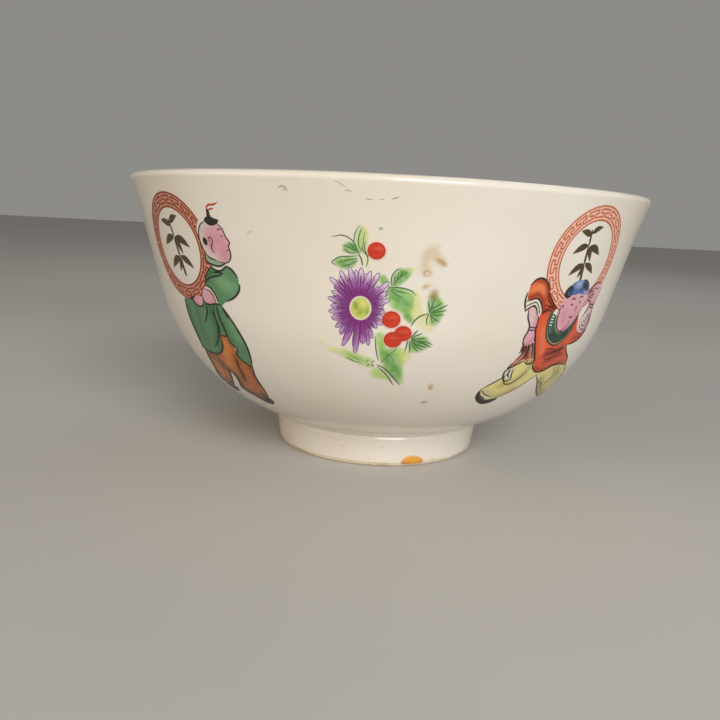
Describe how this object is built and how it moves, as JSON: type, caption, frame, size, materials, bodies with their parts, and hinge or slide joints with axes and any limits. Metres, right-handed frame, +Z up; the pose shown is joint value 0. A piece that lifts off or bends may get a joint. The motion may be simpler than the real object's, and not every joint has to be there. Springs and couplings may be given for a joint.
{
  "type": "tea bowl",
  "caption": "Footed porcelain tea bowl, the bowl of a gaiwan, with a flared lip and enamel patches fired over its glaze: boys with medallions between flower sprays.",
  "frame": {"origin": "centre of the foot ring's resting plane", "axes": "+Z up along the bowl's axis, front spray facing -Y, right side +X"},
  "size_m": [0.1102, 0.1102, 0.057],
  "materials": {
    "bare_clay": "matte",
    "glaze": "gloss",
    "iron_red_enamel": "satin",
    "olive_enamel": "satin",
    "rose_enamel": "satin",
    "green_enamel": "satin",
    "blue_enamel": "satin",
    "orange_enamel": "satin",
    "purple_enamel": "satin",
    "amber_enamel": "satin",
    "yellow_enamel": "satin",
    "black_enamel": "satin",
    "berry_red_enamel": "satin",
    "leaf_green_enamel": "satin"
  },
  "bodies": {
    "root": {"back_left_collar": "green_enamel", "back_left_emblem": "olive_enamel", "back_left_hands": "rose_enamel", "back_left_head": "rose_enamel", "back_left_medallion_border": "iron_red_enamel", "back_left_shoes": "black_enamel", "back_left_trousers": "green_enamel", "back_left_tunic": "purple_enamel", "back_right_coat": "blue_enamel", "back_right_emblem": "olive_enamel", "back_right_hands": "rose_enamel", "back_right_head": "rose_enamel", "back_right_medallion_border": "iron_red_enamel", "back_right_shoes": "black_enamel", "back_right_trousers": "yellow_enamel", "back_spray_berries": "berry_red_enamel", "back_spray_blossom": "purple_enamel", "back_spray_leaves": "leaf_green_enamel", "foot_well_glaze": "glaze", "front_left_coat": "green_enamel", "front_left_emblem": "olive_enamel", "front_left_hands": "rose_enamel", "front_left_head": "rose_enamel", "front_left_medallion_border": "iron_red_enamel", "front_left_shoes": "black_enamel", "front_left_trousers": "amber_enamel", "front_right_collar": "green_enamel", "front_right_emblem": "olive_enamel", "front_right_hands": "rose_enamel", "front_right_head": "rose_enamel", "front_right_medallion_border": "iron_red_enamel", "front_right_shoes": "black_enamel", "front_right_trousers": "yellow_enamel", "front_right_tunic": "orange_enamel", "front_spray_berries": "berry_red_enamel", "front_spray_blossom": "purple_enamel", "front_spray_leaves": "leaf_green_enamel", "glaze_coat": "glaze", "left_spray_berries": "berry_red_enamel", "left_spray_blossom": "purple_enamel", "left_spray_leaves": "leaf_green_enamel", "porcelain_body": "bare_clay", "right_spray_berries": "berry_red_enamel", "right_spray_blossom": "purple_enamel", "right_spray_leaves": "leaf_green_enamel"}
  },
  "joints": []
}
